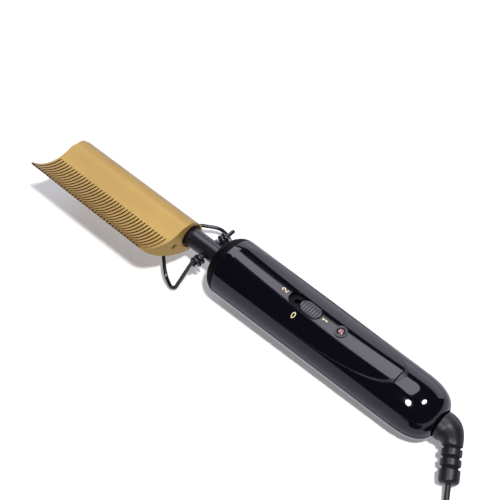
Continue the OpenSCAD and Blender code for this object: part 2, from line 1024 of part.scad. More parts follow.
module elbow_straight() {
    rotate([0, 90, 0])
        difference() {
            rotate_extrude()
                polygon(concat(
                    [[0, -1], [elbow_core_r, -1], [elbow_core_r, 0], [elbow_r, 0]],
                    arc([elbow_r - elbow_round, elbow_len - elbow_round], elbow_round, 0, 90, 6),
                    [[0, elbow_len]]
                ));
            for (i = [0:groove_count - 1])
                translate([0, 0, 0.4 + groove_pitch * i])
                    difference() {
                        cylinder(h = groove_wide, r = 2 * elbow_r);
                        translate([0, 0, -1])
                            cylinder(h = groove_wide + 2, r = elbow_core_r);
                    }
            for (i = [0:groove_count - 2])
                for (s = [-1, 1])
                    translate([0, s * elbow_r, 0.4 + groove_pitch * (i + 0.5) + groove_wide / 2])
                        cube([elbow_r * 1.5, 2.4, groove_wide], center = true);
        }
}

module cord_elbow() {
    hub_x = socket_x + socket_len + air;
    shoulder_x = elbow_start - 0.4;
    foot_round = 2.4;
    color("#26252b")
        tool()
            rotate([elbow_turn, 0, 0]) {
                turned_x(concat(
                    [
                        [shaft_end, 0],
                        [shaft_end, shaft_r + 0.8],
                        [socket_x - air, shaft_r + 0.8],
                        [socket_x - air, shaft_r],
                        [hub_x, shaft_r],
                        [hub_x, foot_d / 2]
                    ],
                    arc([shoulder_x - foot_round, foot_d / 2 - foot_round], foot_round, 90, 0, 6),
                    [[shoulder_x, 0]]
                ));
                ring_x(shoulder_x - 1, elbow_start, elbow_r);
                ring_x(elbow_start - 1, elbow_start + 1, elbow_core_r);
                translate([elbow_start, elbow_bend_r, 0])
                    rotate([0, 0, -90])
                        rotate_extrude(angle = elbow_bend)
                            translate([elbow_bend_r, 0])
                                circle(elbow_r);
                translate([
                    elbow_start + elbow_bend_r * sin(elbow_bend),
                    elbow_bend_r * (1 - cos(elbow_bend)),
                    0
                ])
                    rotate([0, 0, elbow_bend])
                        elbow_straight();
            }
}

// ---- Cord, laid on the table behind the tool ----

cord_r = cord_d / 2;
tie_thick = 0.6;
lay_z = cord_r + tie_thick + 0.1;
turn_pitch = cord_d + 0.45;
turn_sides = 6;
turn_rings = 24;
layers = 4;
layer_turns = turn_count / layers;
coil_outer = coil_d / 2 + turn_pitch * layer_turns / 2;
cord_start = placed(elbow_end);
cord_start_dir = unit(placed(elbow_end + elbow_dir) - cord_start);

// Steps of the cord from the elbow's end to the coil: along x, along y, and height over the table
lead_steps = [
    [2, -3.2, 6.4],
    [4.2, -6.8, 5],
    [6.6, -10.8, 3.8],
    [9.3, -15.2, 2.8],
    [12.3, -20, 2.4],
    [15.6, -25.2, 2.3],
    [19, -30.6, 2.3],
    [22.4, -36, 2.3],
    [25, -40.1, 2.3]
];
lead_points = concat(
    [cord_start],
    [for (p = lead_steps) [cord_start[0] + p[0], cord_start[1] + p[1], max(p[2], lay_z)]]
);
coil_start = lead_points[len(lead_steps)];
coil_heading = unit([3.4, -5.4, 0]);
coil_middle = coil_start + coil_outer * [coil_heading[1], -coil_heading[0], 0];
coil_first = atan2(coil_heading[0], -coil_heading[1]);

// Height of the cord after some turns: it climbs a layer in the half turn where the spiral reverses
function climb(t) = max(0, min(1, t));
function coil_height(turns) =
    lay_z + turn_pitch * sum_of([
        for (k = [1:layers - 1]) climb((turns - k * layer_turns + 0.25) / 0.5)
    ]);
function sum_of(v) = v * [for (i = v) 1];

// Radius of the spiral, which runs in and out again at a steady rate
function coil_radius(turns) =
    let (part = turns / layer_turns - 2 * floor(turns / layer_turns / 2))
    coil_outer - turn_pitch * layer_turns * (part <= 1 ? part : 2 - part);

function coil_point(turns) =
    let (a = coil_first - 360 * turns, r = coil_radius(turns))
    [coil_middle[0] + r * cos(a), coil_middle[1] + r * sin(a), coil_height(turns)];

coil_steps = round(turn_count * turn_rings);
coil_path = [for (i = [0:coil_steps]) coil_point(turn_count * i / coil_steps)];
coil_end_angle = coil_first - 360 * turn_count;
coil_end_dir = [sin(coil_end_angle), -cos(coil_end_angle), 0];

// Least gap between turns, on the path's points
coil_gap = min([
    for (i = [0:coil_steps - turn_rings / 2])
        for (j = [i + turn_rings / 2:coil_steps])
            norm(coil_path[i] - coil_path[j])
]) - cord_d;
echo(coil_gap = coil_gap);

// The end rises over the top layer, turns in across it and enters the plug
rise_turn = 72;
tail_turn = 138;
tail_r = 13;
top_z = coil_height(turn_count);
plug_z = top_z + cord_r + air + plug_thick / 2;
ride_z = top_z + turn_pitch;
function ease(t) = t * t * (3 - 2 * t);
tail_rise = [
    for (i = [0:6])
        let (a = coil_end_angle - rise_turn * i / 6)
        [
            coil_middle[0] + coil_outer * cos(a),
            coil_middle[1] + coil_outer * sin(a),
            top_z + (ride_z - top_z) * ease(i / 6)
        ]
];
rise_end = coil_end_angle - rise_turn;
tail_centre = coil_middle + (coil_outer - tail_r) * [cos(rise_end), sin(rise_end), 0];
tail_curve = [
    for (i = [1:8])
        let (a = rise_end - tail_turn * i / 8)
        [
            tail_centre[0] + tail_r * cos(a),
            tail_centre[1] + tail_r * sin(a),
            ride_z + (plug_z - ride_z) * ease(i / 8)
        ]
];
plug_turn = rise_end - tail_turn - 90;
plug_dir = [cos(plug_turn), sin(plug_turn), 0];
plug_start = tail_curve[7] + cord_d * plug_dir;
relief_len = 10;

module cord_lead() {
    color("#1d1d1f")
        tube(lead_points, cord_r, 8, [0, 0, 1], cord_start_dir, coil_heading);
}

module cord_coil() {
    color("#1d1d1f")
        tube(coil_path, cord_r, turn_sides, [0, 0, 1], coil_heading, coil_end_dir);
}

module cord_tail() {
    color("#1d1d1f")
        tube(concat(tail_rise, tail_curve, [plug_start]), cord_r, 8, [0, 0, 1], coil_end_dir, plug_dir);
}

module cord_tie() {
    high = top_z + cord_r + 0.1;
    inner = coil_outer - turn_pitch * layer_turns - cord_r - 0.5;
    outer = coil_outer + cord_r + 0.1;
    wide = 6;
    tie_angle = rise_end - 113;
    color("black")
        translate(coil_middle - [0, 0, lay_z])
            rotate([0, 0, tie_angle])
                rotate([90, 0, 0])
                    translate([0, 0, -wide / 2])
                        linear_extrude(wide)
                            difference() {
                                translate([inner - tie_thick, 0])
                                    square([outer - inner + 2 * tie_thick, high + tie_thick]);
                                translate([inner, tie_thick])
                                    square([outer - inner, high - tie_thick]);
                            }
}

module at_plug() {
    translate(plug_start)
        rotate([0, 0, plug_turn])
            children();
}

module plug_body() {
    round_r = 4;
    color("#1d1d1f")
        at_plug()
            difference() {
                union() {
                    rotate([0, 90, 0])
                        cylinder(h = relief_len, r1 = 2.8, r2 = plug_thick / 2 - 1);
                    translate([relief_len, 0, 0])
                        rotate([90, 0, 90])
                            linear_extrude(plug_len) {
                                square([plug_wide - 2 * round_r, plug_thick], center = true);
                                square([plug_wide, plug_thick - 2 * round_r], center = true);
                                for (s = [-1, 1])
                                    for (t = [-1, 1])
                                        translate([
                                            s * (plug_wide / 2 - round_r),
                                            t * (plug_thick / 2 - round_r)
                                        ])
                                            circle(round_r);
                            }
                }
                for (i = [0:2])
                    translate([2 + 2.4 * i, 0, 0])
                        rotate([0, 90, 0])
                            difference() {
                                cylinder(h = 0.9, r = plug_thick);
                                translate([0, 0, -1])
                                    cylinder(h = 3, r = 2.5 + 0.3 * i);
                            }
            }
}

module plug_blades() {
    thick = 1.5;
    high = 6.35;
    color("silver")
        at_plug()
            for (s = [-1, 1])
                translate([relief_len + plug_len, s * blade_apart / 2, 0])
                    difference() {
                        translate([0, -thick / 2, -high / 2])
                            cube([blade_len, thick, high]);
                        translate([blade_len - 3.6, 0, 0])
                            rotate([90, 0, 0])
                                cylinder(h = 3 * thick, d = blade_hole_d, center = true);
                        for (t = [-1, 1])
                            translate([blade_len, 0, t * high / 2])
                                rotate([0, 45, 0])
                                    cube([2, 3 * thick, 2], center = true);
                    }
}

comb_head();
comb_screw();
heater_cartridge();
heater_bead();
thermal_fuse();
heater_leads();
neck_collar();
neck_tube();
neck_flange();
pivot_rod();
wire_stand();
upper_shell();
lower_shell();
shell_screws();
switch_knob();
switch_lever();
switch_body();
lamp_bezel();
lamp();
control_board();
board_screws();
capacitor();
dropper_resistor();
triac();
diodes();
mains_leads();
swivel_socket();
contact_springs();
swivel_pin();
cord_elbow();
cord_lead();
cord_coil();
cord_tail();
cord_tie();
plug_body();
plug_blades();
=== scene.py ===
import json
import math

import bmesh
import bpy
from mathutils import Matrix, Vector


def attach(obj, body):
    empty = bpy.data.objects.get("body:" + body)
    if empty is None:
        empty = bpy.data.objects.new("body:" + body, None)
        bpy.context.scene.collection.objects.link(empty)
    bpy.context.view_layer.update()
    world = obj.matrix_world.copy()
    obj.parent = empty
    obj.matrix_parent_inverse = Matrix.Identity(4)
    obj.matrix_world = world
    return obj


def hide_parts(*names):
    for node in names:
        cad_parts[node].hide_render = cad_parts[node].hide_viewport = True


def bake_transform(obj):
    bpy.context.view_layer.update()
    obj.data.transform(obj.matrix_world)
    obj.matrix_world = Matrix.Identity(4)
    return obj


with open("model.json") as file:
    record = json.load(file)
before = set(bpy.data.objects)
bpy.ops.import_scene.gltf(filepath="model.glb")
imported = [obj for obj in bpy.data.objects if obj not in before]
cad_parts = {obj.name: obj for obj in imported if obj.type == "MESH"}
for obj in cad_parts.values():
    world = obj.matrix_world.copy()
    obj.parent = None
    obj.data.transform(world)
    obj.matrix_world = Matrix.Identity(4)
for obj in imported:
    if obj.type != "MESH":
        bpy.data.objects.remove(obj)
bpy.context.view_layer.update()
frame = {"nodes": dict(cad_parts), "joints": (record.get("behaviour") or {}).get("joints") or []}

# ---- The view ----
# A tabletop photograph from above the cord's end, with a long lens held almost level.
# It is placed by the camera's own place and its turn round, up and about its axis.

MM = 0.001
camera_from = Vector((270.05, -272.07, 527.86)) * MM
camera_round, camera_up, camera_roll = 45.04, 50.555, -2.482

lens = bpy.data.cameras.new("camera")
lens.lens = 79.33
lens.sensor_width = 36
lens.clip_start = 0.01
lens.clip_end = 20
camera = bpy.data.objects.new("camera", lens)
bpy.context.scene.collection.objects.link(camera)
camera.matrix_world = (
    Matrix.Translation(camera_from)
    @ Matrix.Rotation(math.radians(camera_round), 4, "Z")
    @ Matrix.Rotation(math.radians(90 - camera_up), 4, "X")
    @ Matrix.Rotation(math.radians(camera_roll), 4, "Z")
)
bpy.context.scene.camera = camera
bpy.context.scene.view_settings.view_transform = "Standard"


# ---- The table ----
# A seamless white sheet under the tool, which takes the tool's shadow.
# It shows as white to the eye, also far off, and to the gloss of the handle.


class Shade:
    """A value or colour in a material. Python's own operators add the Math nodes."""

    def __init__(self, tree, socket=None):
        self.tree = tree
        self.socket = socket

    def add(self, kind, settings=None, sockets=None, out=0):
        """A node of one kind: its settings are set first, then the values or links of its sockets."""
        node = self.tree.nodes.new("ShaderNode" + kind)
        for name, setting in (settings or {}).items():
            if name == "stops":
                ramp = node.color_ramp.elements
                for i, (place, colour) in enumerate(setting):
                    stop = ramp[i] if i < len(ramp) else ramp.new(place)
                    stop.position = place
                    stop.color = colour
            else:
                setattr(node, name, setting)
        for name, value in (sockets or {}).items():
            if isinstance(value, Shade):
                self.tree.links.new(value.socket, node.inputs[name])
            else:
                node.inputs[name].default_value = value
        return Shade(self.tree, node.outputs[out] if node.outputs else None)

    def maths(self, operation, a, b=0.0):
        return self.add("Math", {"operation": operation}, {0: a, 1: b})

    def __add__(self, other):
        return self.maths("ADD", self, other)

    def __radd__(self, other):
        return self.maths("ADD", other, self)

    def __sub__(self, other):
        return self.maths("SUBTRACT", self, other)

    def __rsub__(self, other):
        return self.maths("SUBTRACT", other, self)

    def __mul__(self, other):
        return self.maths("MULTIPLY", self, other)

    def __rmul__(self, other):
        return self.maths("MULTIPLY", other, self)

    def __truediv__(self, other):
        return self.maths("DIVIDE", self, other)

    def __rtruediv__(self, other):
        return self.maths("DIVIDE", other, self)

    def __pow__(self, other):
        return self.maths("POWER", self, other)

    def __abs__(self):
        return self.maths("ABSOLUTE", self)

    def least(self, other):
        return self.maths("MINIMUM", self, other)

    def most(self, other):
        return self.maths("MAXIMUM", self, other)

    def over(self, other):
        """1 where this is greater, 0 elsewhere."""
        return self.maths("GREATER_THAN", self, other)

    def toward(self, other, part):
        """This value, or the other as the part grows from 0 to 1."""
        return self + (other - self) * part

    def clear(self):
        """Kept from 0 to 1."""
        return self.most(0.0).least(1.0)

    def parts(self):
        """The x, y and z of this vector."""
        split = self.add("SeparateXYZ", sockets={"Vector": self})
        return [Shade(self.tree, part) for part in split.socket.node.outputs]


def new_material(name):
    material = bpy.data.materials.new(name)
    material.use_nodes = True
    material.node_tree.nodes.clear()
    return material, Shade(material.node_tree)


def rgb(r, g, b):
    return (r, g, b, 1.0)


glow_from, glow_grows = 0.4, 0.8
sheet_white, paint = new_material("table_white")
seen = paint.add("LightPath", out=0)
mirrored = paint.add("LightPath", out=3)
lit = paint.add("BsdfDiffuse", sockets={"Color": rgb(0.80, 0.80, 0.80)})
east, north, _ = paint.add("TexCoord", out=3).parts()
from_tool = (east * east + north * north) ** 0.5
far_off = ((from_tool - glow_from) / glow_grows).clear()
near_glow = paint.add("Emission", sockets={"Color": rgb(1, 1, 1), "Strength": 0.12})
far_glow = paint.add("Emission", sockets={"Color": rgb(1, 1, 1), "Strength": 1.02})
glow = paint.add("MixShader", sockets={0: far_off, 1: near_glow, 2: far_glow})
both = paint.add("AddShader", sockets={0: lit, 1: glow})
sheet = paint.add("MixShader", sockets={0: seen, 1: lit, 2: both})
in_gloss = paint.add("Emission", sockets={"Color": rgb(0.94, 0.90, 1.06), "Strength": 0.85})
mixed = paint.add("MixShader", sockets={0: mirrored, 1: sheet, 2: in_gloss})
paint.add("OutputMaterial", sockets={"Surface": mixed})


def flat_sheet(name, corners, material):
    mesh = bpy.data.meshes.new(name)
    mesh.from_pydata(corners, [], [tuple(range(len(corners)))])
    mesh.materials.append(material)
    laid = bpy.data.objects.new(name, mesh)
    bpy.context.scene.collection.objects.link(laid)
    return laid


table_half = 4.0
table = flat_sheet(
    "table",
    [(-table_half, -table_half, 0), (table_half, -table_half, 0),
     (table_half, table_half, 0), (-table_half, table_half, 0)],
    sheet_white,
)

# ---- The light ----
# A wide softbox hung over the tool, a tall one behind it and two bare lamps at the cord's end.
# Their mirror images are the grey bands and the bright spots on the handle.
# A small key lamp throws the shadow, and a weak one in front fills it.


def softbox(name, middle, aim, size, radiance, colour=(1, 1, 1), shape="RECTANGLE",
            shows=True, throws=True):
    """A lamp of an even brightness, given as what it shows in a mirror."""
    light = bpy.data.lights.new(name, "AREA")
    light.shape = shape
    light.size, light.size_y = size
    light.color = colour
    light.energy = radiance * math.pi * size[0] * size[1]
    lamp = bpy.data.objects.new(name, light)
    bpy.context.scene.collection.objects.link(lamp)
    lamp.location = middle
    lamp.rotation_euler = (Vector(aim) - Vector(middle)).to_track_quat("-Z", "Y").to_euler()
    lamp.visible_glossy = shows
    lamp.visible_diffuse = throws
    return lamp


studio_white = (0.97, 0.94, 1.08)
top_high = 0.80
top_cloth, paint = new_material("top_cloth")
mirrored = paint.add("LightPath", out=3)
cast_light = paint.add("Emission", sockets={"Color": rgb(*studio_white), "Strength": 0.9})
mirror_light = paint.add("Emission", sockets={"Color": rgb(*studio_white), "Strength": 3.8})
cloth_light = paint.add("MixShader", sockets={0: mirrored, 1: cast_light, 2: mirror_light})
paint.add("OutputMaterial", sockets={"Surface": cloth_light})
top_outline = [
    (-0.90, 0.02), (-0.215, 0.06), (-0.19, 0.13), (-0.165, 0.15), (-0.12, 0.0), (-0.07, -0.15), (0.0, -0.2),
    (0.06, -0.16), (0.09, 0.0), (0.10, 0.25), (0.06, 0.45), (-0.02, 0.56), (-0.12, 0.5), (-0.20, 0.42),
    (-0.235, 0.49), (-0.30, 0.68), (-0.90, 0.72),
]
top_softbox = flat_sheet("top_softbox", [(x, y, top_high) for x, y in top_outline], top_cloth)
top_softbox.visible_shadow = False

softbox("back_softbox", (-0.3, 1.2, 0.42), (0, 0, 0.1), (2.6, 0.9), 1.5, studio_white)
softbox("side_lamp", (0.39, 0.0, top_high), (0.39, 0.0, 0), (0.135, 0.29), 30, shape="ELLIPSE",
        throws=False)
softbox("front_lamp", (0.09, -0.62, top_high), (0.09, -0.62, 0), (0.135, 0.42), 30, shape="ELLIPSE",
        throws=False)
softbox("front_fill", (0.9, -0.9, 0.9), (0, 0, 0), (0.5, 0.5), 3.0, shows=False)
softbox("key_lamp", (0.505, -0.27, 1.155), (0.03, 0, 0), (0.08, 0.08), 860, shows=False)

world = bpy.data.worlds.new("studio")
bpy.context.scene.world = world
world.use_nodes = True
world.node_tree.nodes.clear()
room = Shade(world.node_tree)
room_seen = room.add("LightPath", out=0)
room_mirrored = room.add("LightPath", out=3)
soft = room.add("Background", sockets={"Color": rgb(0.92, 0.94, 1.0), "Strength": 0.30})
dark = room.add("Background", sockets={"Color": rgb(0.9, 0.9, 1.2), "Strength": 0.03})
white = room.add("Background", sockets={"Color": rgb(1, 1, 1), "Strength": 1.0})
unseen = room.add("MixShader", sockets={0: room_mirrored, 1: soft, 2: dark})
around = room.add("MixShader", sockets={0: room_seen, 1: unseen, 2: white})
room.add("OutputWorld", sockets={"Surface": around})

# ---- The cord ----
# Round two-core flex in a satin black jacket, moulded into the elbow at one end and the plug at the other.
# The part out of view is wound in four layers and held by a tie, with the plug laid on top.

cord_r = 1.6 * MM
layers = 4
turn_count = 13.7
turn_pitch = 3.65 * MM
turn_rings = 24
coil_outer = 25.4506 * MM
lay_z = 2.3 * MM

cord_start = Vector((151.220, -16.0988, 8.0724)) * MM
cord_heading = Vector((0.5051, -0.7994, -0.3253))
lead_steps = [
    (2, -3.2, 6.4),
    (4.2, -6.8, 5),
    (6.6, -10.8, 3.8),
    (9.3, -15.2, 2.8),
    (12.3, -20, 2.4),
    (15.6, -25.2, 2.3),
    (19, -30.6, 2.3),
    (22.4, -36, 2.3),
    (25, -40.1, 2.3),
]


def along(start, heading, distance):
    return start + heading * distance


def wound(turns):
    """The coil's point after some turns. They go in and out again from layer to layer."""
    layer_turns = turn_count / layers
    part = turns / layer_turns % 2
    radius = coil_outer - turn_pitch * layer_turns * (part if part <= 1 else 2 - part)
    climbs = [min(1, max(0, (turns - k * layer_turns + 0.25) / 0.5)) for k in range(1, layers)]
    angle = coil_first - 2 * math.pi * turns
    side = Vector((math.cos(angle), math.sin(angle), 0))
    return coil_middle + radius * side + Vector((0, 0, turn_pitch * sum(climbs)))


def eased(t):
    return t * t * (3 - 2 * t)


lead = [cord_start] + [
    Vector((cord_start.x + x * MM, cord_start.y + y * MM, z * MM)) for x, y, z in lead_steps
]
coil_heading = Vector((3.4, -5.4, 0)).normalized()
coil_middle = lead[-1] + coil_outer * Vector((coil_heading.y, -coil_heading.x, 0))
coil_first = math.atan2(coil_heading.x, -coil_heading.y)
coil_steps = round(turn_count * turn_rings)
coil = [wound(turn_count * i / coil_steps) for i in range(1, coil_steps)]

# The end rises over the top layer, turns in across it and enters the plug
coil_last = coil_first - 2 * math.pi * turn_count
rise_turn, tail_turn = math.radians(72), math.radians(138)
rise_steps, tail_steps = 6, 8
tail_r = 13 * MM
top_z = lay_z + turn_pitch * (layers - 1)
ride_z = top_z + turn_pitch
plug_z = top_z + cord_r + 6.3 * MM
rise_end = coil_last - rise_turn


def round_point(middle, radius, angle, z):
    return Vector((middle.x + radius * math.cos(angle), middle.y + radius * math.sin(angle), z))


tail = [
    round_point(coil_middle, coil_outer, coil_last - rise_turn * i / rise_steps,
                top_z + (ride_z - top_z) * eased(i / rise_steps))
    for i in range(rise_steps + 1)
]
tail_middle = round_point(coil_middle, coil_outer - tail_r, rise_end, 0)
tail += [
    round_point(tail_middle, tail_r, rise_end - tail_turn * i / tail_steps,
                ride_z + (plug_z - ride_z) * eased(i / tail_steps))
    for i in range(1, tail_steps + 1)
]
plug_turn = rise_end - tail_turn - math.pi / 2
plug_way = Vector((math.cos(plug_turn), math.sin(plug_turn), 0))
plug_start = along(tail[-1], plug_way, 2 * cord_r)


def smoothed(points, steps):
    """A smooth curve through the points, with some steps between each two."""
    ends = [2 * points[0] - points[1]] + points + [2 * points[-1] - points[-2]]
    curve = []
    for a, b, c, d in zip(ends, ends[1:], ends[2:], ends[3:]):
        for i in range(steps):
            t = i / steps
            curve.append(
                0.5 * (2 * b + (c - a) * t + (2 * a - 5 * b + 4 * c - d) * t**2
                       + (3 * b - a - 3 * c + d) * t**3)
            )
    return curve + [points[-1]]


def tube(name, path, radius, sides, material, first=Vector((0, 0, 1))):
    """A round tube along a path, closed at both ends. The radius is a number or one for each point."""
    radii = radius if isinstance(radius, list) else [radius] * len(path)
    last = len(path) - 1
    corners, faces = [], []
    normal = first
    for i, point in enumerate(path):
        heading = (path[min(i + 1, last)] - path[max(i - 1, 0)]).normalized()
        normal = (normal - heading * normal.dot(heading)).normalized()
        across = heading.cross(normal)
        for k in range(sides):
            angle = 2 * math.pi * k / sides
            corners.append(point + radii[i] * (normal * math.cos(angle) + across * math.sin(angle)))
    for i in range(last):
        for k in range(sides):
            a, b = i * sides + k, i * sides + (k + 1) % sides
            faces.append((a, b, b + sides, a + sides))
    faces.append(tuple(reversed(range(sides))))
    faces.append(tuple(range(last * sides, (last + 1) * sides)))
    return solid(name, corners, faces, material)


def solid(name, corners, faces, material):
    mesh = bpy.data.meshes.new(name)
    mesh.from_pydata([tuple(c) for c in corners], [], faces)
    mesh.materials.append(material)
    mesh.update()
    for face in mesh.polygons:
        face.use_smooth = len(face.vertices) < 5
    piece = bpy.data.objects.new(name, mesh)
    bpy.context.scene.collection.objects.link(piece)
    return piece


def grainy(name, colour, roughness, metallic=0.0, scale=900.0):
    """A plain finish with a fine grain in its gloss and surface."""
    material, paint = new_material(name)
    place = paint.add("TexCoord", out=3)
    noise = paint.add("TexNoise", sockets={"Vector": place, "Scale": scale, "Detail": 3.0})
    grit = paint.add("Bump", sockets={"Height": noise, "Strength": 1.0, "Distance": 0.02 * MM})
    surface = paint.add("BsdfPrincipled", sockets={
        "Base Color": rgb(*colour),
        "Roughness": (roughness + (noise - 0.5) * 0.08).clear(),
        "Metallic": metallic,
        "Normal": grit,
    })
    paint.add("OutputMaterial", sockets={"Surface": surface})
    return material


jacket = grainy("cord_jacket", (0.012, 0.012, 0.013), 0.42)
route = smoothed(lead, 4) + coil + smoothed(tail + [plug_start], 3)
route.insert(0, along(route[0], cord_heading, -2 * MM))
cord = tube("cord", route, cord_r, 10, jacket)
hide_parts("cord_lead", "cord_coil", "cord_tail")
lead_heading, turning_length = Vector((0.53, -0.85, 0)), 45 * MM
along(cord_start, lead_heading, turning_length)
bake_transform(cord)
cord_length = sum((b - a).length for a, b in zip(route, route[1:]))

# ---- The plug and tie ----
# The plug is moulded in the cord's black rubber round two bare nickel-plated blades.
# A band of black nylon holds the coil.


def finish_node(node, material):
    """Gives a solid of the frame its finish."""
    mesh = frame["nodes"][node].data
    mesh.materials.clear()
    mesh.materials.append(material)


finish_node("plug_body", grainy("plug_rubber", (0.013, 0.013, 0.014), 0.45))
finish_node("plug_blades", grainy("blade_nickel", (0.72, 0.70, 0.66), 0.22, metallic=1.0))
finish_node("cord_tie", grainy("tie_nylon", (0.02, 0.02, 0.022), 0.55))

# ---- The handle ----
# Two halves injection moulded in high gloss black and screwed together from below.
# A dish runs along the top and ends in a tongue before the rounded back.

joints = {joint["name"]: joint for joint in frame["joints"]}
rod = Vector(joints["stand_pivot"]["pos_m"])
handle_axis = Vector(joints["cord_swivel"]["axis"])
tilt = math.atan2(-handle_axis.z, handle_axis.x)
on_table = Matrix.Translation(rod) @ Matrix.Rotation(tilt, 4, "Y")

# The handle's form in millimetres, along its own axis from the stand's rod
front_edge, round_r = 9.0, 11.0
body_end, dome_len = 145.0, 26.0
front_radius, taper = 19.0, 1.1 / 136
panel_low_x, panel_low_z = 87.0, 15.2
panel_along_r, panel_across_r = 583.0, 25.5
panel_arm = panel_along_r + panel_across_r
panel_axis_z = panel_low_z + panel_along_r
crease = 0.3
seam_up, seam_wide = -2.0, 0.6
tongue_x, tongue_up, tongue_middle, tongue_half, tongue_wide = 141.2, 12.0, -1.8, 4.7, 0.3
dish_up, dish_edge_wide, dish_edge_x, dish_edge_grows = 9.0, 0.22, 50.0, 40.0


def along_tool(vector):
    """A vector of a material as its parts along the tool, to the side and up from it."""
    x, y, z = vector.parts()
    return x * math.cos(tilt) - z * math.sin(tilt), y, x * math.sin(tilt) + z * math.cos(tilt)


def from_rod(place):
    """The same for a place, in millimetres from the stand's rod."""
    rod_place = place.add("VectorMath", {"operation": "SUBTRACT"}, {0: place, 1: rod})
    return [part / MM for part in along_tool(rod_place)]


def as_it_lies(ahead, side, up):
    """The vector of such parts, turned to the tool as it lies on the table."""
    return side.add("CombineXYZ", sockets={
        0: ahead * math.cos(tilt) + up * math.sin(tilt),
        1: side,
        2: up * math.cos(tilt) - ahead * math.sin(tilt),
    })


def length_of(parts):
    """The length of a vector from its parts."""
    return sum(part * part for part in parts) ** 0.5


handle_black, paint = new_material("handle_gloss")
place = paint.add("TexCoord", out=3)
ahead, side, up = from_rod(place)

# How far outside the round body each point lies, and the body's direction there
out = (side * side + up * up + 0.0001) ** 0.5
body_radius = front_radius - (ahead.least(body_end) - front_edge) * taper
behind = (ahead - body_end).most(0.0) / dome_len
share = out / body_radius
off_body = ((behind**3.0 + share**3.0) ** (1 / 3) - 1.0) * body_radius
rounding = ((front_edge + round_r - ahead) / round_r).clear()
at_front = rounding.over(0.0001)
round_out = (1.0 - rounding * rounding).most(0.0) ** 0.5
out_part = (share * share / body_radius).toward(round_out, at_front)
body_turn = [
    (behind * behind / dome_len + share * share * taper / body_radius).toward(rounding * -1.0, at_front),
    out_part * side / out,
    out_part * up / out,
]
body_long = length_of(body_turn)

# The same for the dish, whose round section follows a long arc over the handle
dish_x = ahead - panel_low_x
dish_z = up - panel_axis_z
arm = length_of([dish_x, dish_z])
off_arm = arm - panel_arm
dish_long = length_of([off_arm, side])
off_dish = dish_long - panel_across_r
dish_turn = [off_arm * dish_x / arm, side, off_arm * dish_z / arm]

# The two are blended along the crease between them
in_dish = ((off_dish - off_body) / crease + 0.5).clear()
turned = [b / body_long * (1.0 - in_dish) + d / dish_long * in_dish for b, d in zip(body_turn, dish_turn)]

# Only the outer skin is turned so. In the switch's well and inside, the mesh keeps its own directions
outside = off_body.most(off_dish).over(-0.15)
mesh_way = paint.add("NewGeometry", out=1)
way = paint.add("Mix", {"data_type": "VECTOR"}, {0: outside, 4: mesh_way, 5: as_it_lies(*turned)}, out=1)

# The seam of the two halves, the line across the tongue, and the slightly rough edge of the dish
seam = (1.3 - abs(up - seam_up) / seam_wide).clear()
tongue = (1.3 - abs(ahead - tongue_x) / tongue_wide).clear() * up.over(tongue_up)
tongue = tongue * (tongue_half - abs(side - tongue_middle)).over(0.0)
groove = seam.most(tongue)
edge = (1.0 - abs(off_dish - off_body) / dish_edge_wide).clear() * outside * up.over(dish_up)
edge = edge * ((ahead - dish_edge_x) / dish_edge_grows).clear()
ripple = paint.add("TexNoise", sockets={"Vector": place, "Scale": 60.0, "Detail": 1.0})
relief = paint.add("Bump", sockets={
    "Height": ripple * 0.02 - groove,
    "Strength": 1.0,
    "Distance": 0.3 * MM,
    "Normal": way,
})
specks = paint.add("TexNoise", sockets={"Vector": place, "Scale": 1500.0, "Detail": 2.0})
surface = paint.add("BsdfPrincipled", sockets={
    "Base Color": rgb(0.0022, 0.0020, 0.0046),
    "Roughness": (0.055 + specks * 0.02 + groove * 0.5 + edge * 0.3 + (1.0 - outside) * 0.4).clear(),
    "IOR": 1.5,
    "Normal": relief,
})
# The seam and the line across the tongue are dark joints. The switch's well and the inside are painted dark
# as shade, by mixing in this dark sheet.
dark_seam_and_well_shade = paint.add("BsdfDiffuse", sockets={"Color": rgb(0.002, 0.002, 0.003)})
surface = paint.add("MixShader", sockets={0: groove.most((1.0 - outside) * 0.8), 1: surface, 2: dark_seam_and_well_shade})
paint.add("OutputMaterial", sockets={"Surface": surface})
finish_node("upper_shell", handle_black)
finish_node("lower_shell", handle_black)
finish_node("shell_screws", grainy("screw_steel", (0.55, 0.55, 0.56), 0.3, metallic=1.0))

# ---- The elbow ----
# A cord guard moulded in soft black rubber, whose round foot turns in the back of the handle.
# Its straight part has ring grooves, so that it bends with the cord.

elbow_x, elbow_r, foot_r = 172.1, 5.6, 8.3
elbow_bend, elbow_bend_r, elbow_len = math.radians(58.9), 11.8, 20.2
elbow_turn = math.radians(201)
foot_in, foot_flat, foot_round_long, foot_round_deep = 1.2, 0.2, 2.4, 0.9
ease_from, ease_long, elbow_end_r = 2, 10, 2.2
groove_first, groove_pitch, groove_wide, groove_deep, groove_count = 0.1, 5.3, 1.9, 1.2, 3
elbow_rings = 220
elbow_side = Vector((0, math.cos(elbow_turn), math.sin(elbow_turn)))
ahead_way = Vector((1, 0, 0))
elbow_way = ahead_way * math.cos(elbow_bend) + elbow_side * math.sin(elbow_bend)


def placed(x, y, z):
    """A point of the tool's own frame, in millimetres, as it lies on the table."""
    return on_table @ Vector((x * MM, y * MM, z * MM))


def elbow_point(distance):
    """The middle line of the elbow, some way from the start of its bend."""
    start = Vector((elbow_x, 0, 0))
    turned_by = min(max(distance / elbow_bend_r, 0), elbow_bend)
    bent = ahead_way * math.sin(turned_by) + elbow_side * (1 - math.cos(turned_by))
    straight = ahead_way * min(distance, 0) + elbow_way * max(distance - elbow_bend_r * elbow_bend, 0)
    return start + elbow_bend_r * bent + straight


